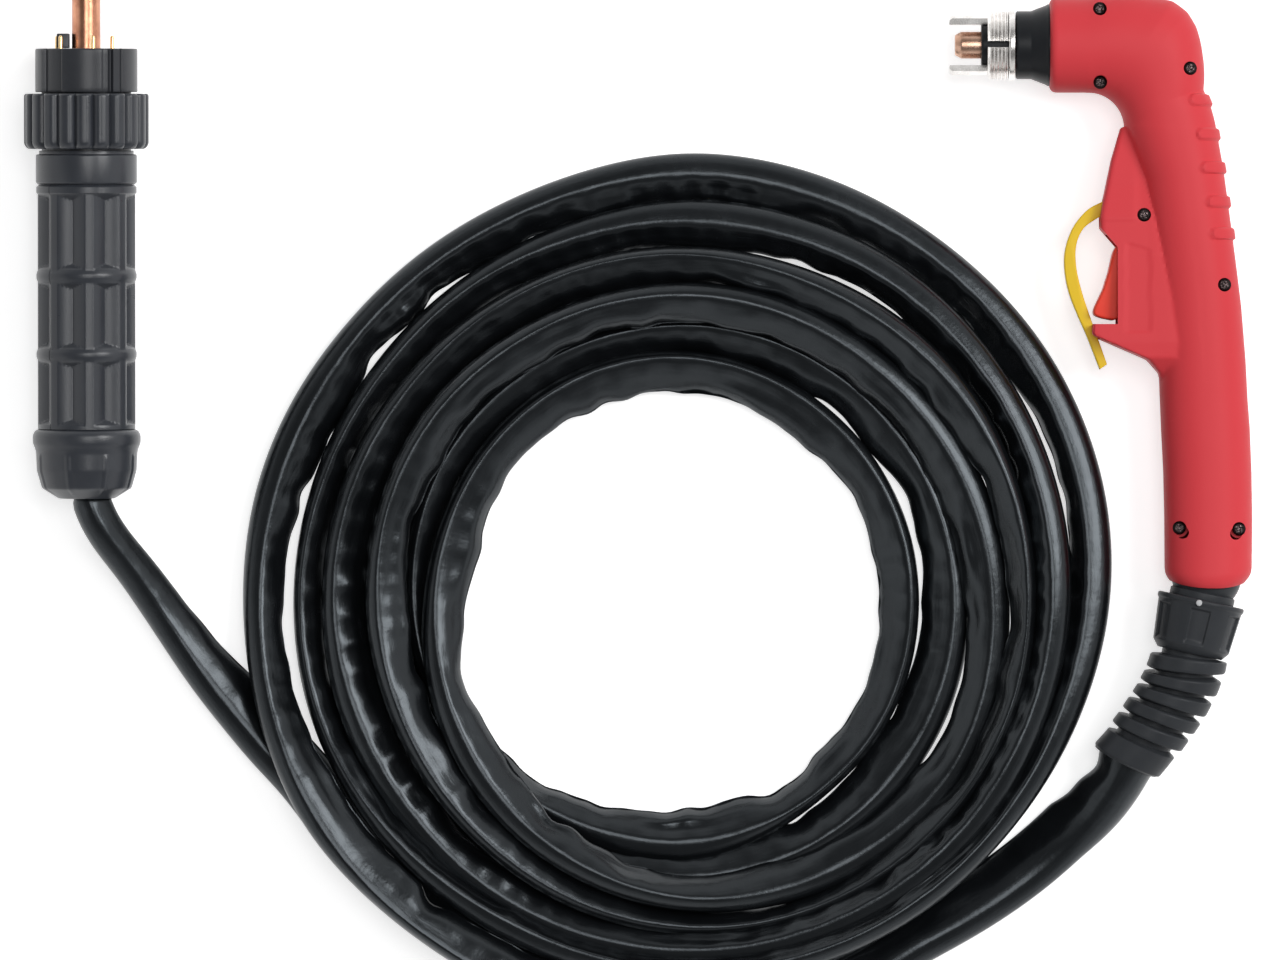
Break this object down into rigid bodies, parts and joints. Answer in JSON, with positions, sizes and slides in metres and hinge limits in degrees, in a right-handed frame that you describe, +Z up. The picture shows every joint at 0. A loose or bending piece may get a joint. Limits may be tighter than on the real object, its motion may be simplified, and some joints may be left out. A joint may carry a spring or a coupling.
{
  "type": "plasma cutting torch",
  "caption": "Hand cutting torch with pistol-like head, trigger, safety lever, ball-jointed cable coiled in a sleeve, and a central connector.",
  "frame": {"origin": "centre of the box round the hand torch itself (handle, head, gland and strain relief), on the surface that it lies on", "axes": "+Y up the grip from the cable end to the head, -X the way the head points, +Z up from the surface that the torch lies on"},
  "size_m": [0.4725, 0.4233, 0.0486],
  "materials": {
    "red": "satin, moulded",
    "orange": "satin, moulded",
    "yellow": "satin, moulded",
    "black": "fine matt, moulded",
    "dark": "fine matt, moulded",
    "sleeve": "satin, soft",
    "copper": "bright, drawn",
    "nickel": "satin plated",
    "brass": "bright",
    "steel": "plain",
    "rubber": "matt"
  },
  "bodies": {
    "cable": {"strain_relief": "black", "gland_nut": "black", "ball_joint": "black", "cable_coil": "sleeve", "cable_lead_handle": "sleeve", "cable_lead_connector": "sleeve", "barrel_ring": "dark", "barrel_shell_left": "dark", "barrel_shell_right": "dark", "cable_seal": "rubber", "connector_hose": "rubber", "control_pin_1": "brass", "control_pin_2": "brass", "control_pin_3": "brass", "control_pin_4": "brass", "end_cap": "dark", "hose_ferrule": "brass", "key_block": "black", "plug_body": "black", "power_tube": "copper"},
    "coupling_nut": {"coupling_nut": "dark"},
    "handle": {"handle_shell_upper": "red", "handle_shell_lower": "red", "handle_screw_1": "steel", "handle_screw_2": "steel", "handle_screw_3": "steel", "handle_screw_4": "steel", "handle_screw_5": "steel", "handle_screw_6": "steel", "handle_screw_7": "steel", "head_neck": "black", "head_insulator": "black", "head_collar": "nickel", "contact_ring_upper": "nickel", "contact_ring_lower": "nickel", "electrode": "copper", "head_body": "brass", "grip_hose": "rubber", "micro_switch": "dark", "trigger_pin": "steel", "lever_pin": "steel", "switch_wires": "rubber", "trigger_spring": "steel"},
    "trigger": {"trigger": "orange"},
    "safety_lever": {"safety_lever": "yellow"},
    "plunger": {"switch_plunger": "steel"}
  },
  "joints": [
    {"name": "handle_swivel", "type": "hinge", "parent": "cable", "child": "handle", "pos_m": [0.0408, -0.0722, 0.0183], "axis": [0, 0, -1], "range_deg": [-5.4, 30.6]},
    {"name": "trigger_press", "type": "hinge", "parent": "handle", "child": "trigger", "pos_m": [0.0074, 0.0524, 0.0183], "axis": [0, 0, 1], "range_deg": [0, 7], "stiffness_Nm_per_rad": 0.5, "springref_deg": -5.73, "deforming": ["trigger_spring"]},
    {"name": "lever_lift", "type": "hinge", "parent": "handle", "child": "safety_lever", "pos_m": [0.0023, 0.0687, 0.0183], "axis": [0, 0, -1], "range_deg": [0, 35], "stiffness_Nm_per_rad": 0.06, "springref_deg": -17.19},
    {"name": "plunger_slide", "type": "slide", "parent": "handle", "child": "plunger", "axis": [1, 0, 0], "range_m": [0, 0.0019]},
    {"name": "nut_turn", "type": "hinge", "parent": "cable", "child": "coupling_nut", "pos_m": [-0.3902, 0.10275, 0.02431], "axis": [0, 0.9996, 0.0277], "continuous": true}
  ],
  "couplings": [
    {"joint": "plunger_slide", "follows": "trigger_press", "m_per_rad": 0.01555}
  ]
}
